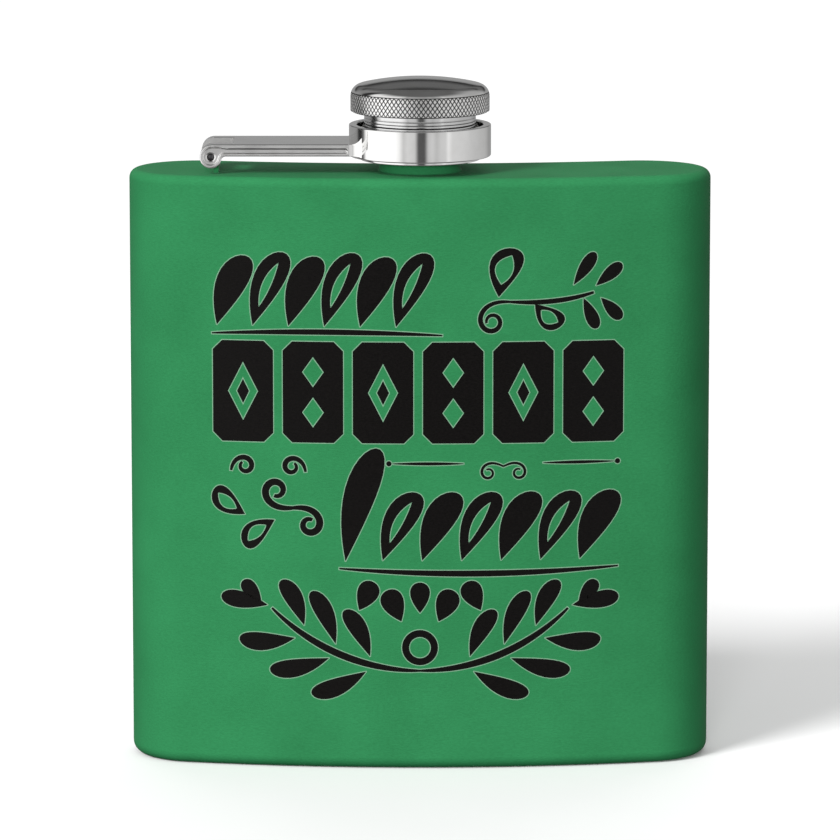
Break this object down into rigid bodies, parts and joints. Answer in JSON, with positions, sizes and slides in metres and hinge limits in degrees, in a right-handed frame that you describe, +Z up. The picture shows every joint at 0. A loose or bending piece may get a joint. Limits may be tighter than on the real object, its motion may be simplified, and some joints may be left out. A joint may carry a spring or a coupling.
{
  "type": "hip flask",
  "caption": "Curved, powder-coated metal hip flask with a domed, knurled screw cap held captive in the ring of a hinged arm.",
  "frame": {"origin": "middle of the underside of the base, which the flask stands on", "axes": "+Z up through the neck, +X towards the user's right with the hinge at -X, +Y towards the hollow back"},
  "size_m": [0.094, 0.026, 0.1112],
  "materials": {
    "green_coat": "matte powder coat with a fine grain",
    "bare_steel": "turned and brushed",
    "polished_metal": "mirror polish",
    "turned_metal": "fine turned grooves, bright",
    "pin_steel": "dark, plain",
    "silicone": "translucent white, matte",
    "black_print": "matte ink printed on the coat",
    "print_edge": "pale rim of bare primer round the print"
  },
  "bodies": {
    "flask": {"body_wrap": "green_coat", "base_plate": "green_coat", "shoulder_plate": "green_coat", "neck_collar": "green_coat", "pour_neck": "bare_steel", "hinge_lug": "green_coat"},
    "arm": {"cap_arm": "polished_metal", "hinge_pin": "pin_steel"},
    "carrier": {"retaining_clip": "bare_steel"},
    "cap": {"cap_core": "turned_metal", "cap_seal": "silicone", "cap_cover": "polished_metal"}
  },
  "joints": [
    {"name": "arm_swing", "type": "hinge", "parent": "flask", "child": "arm", "pos_m": [-0.03355, -0.001, 0.09896], "axis": [0, -1, 0], "range_deg": [0, 179]},
    {"name": "cap_lift", "type": "slide", "parent": "arm", "child": "carrier", "axis": [0, 0, 1], "range_m": [-0.00201, 0]},
    {"name": "cap_turn", "type": "hinge", "parent": "carrier", "child": "cap", "pos_m": [0, -0.001, 0.1], "axis": [0, 0, 1], "range_deg": [-720, 0]}
  ],
  "couplings": [
    {"joint": "cap_lift", "follows": "cap_turn", "m_per_rad": 0.00015915}
  ]
}
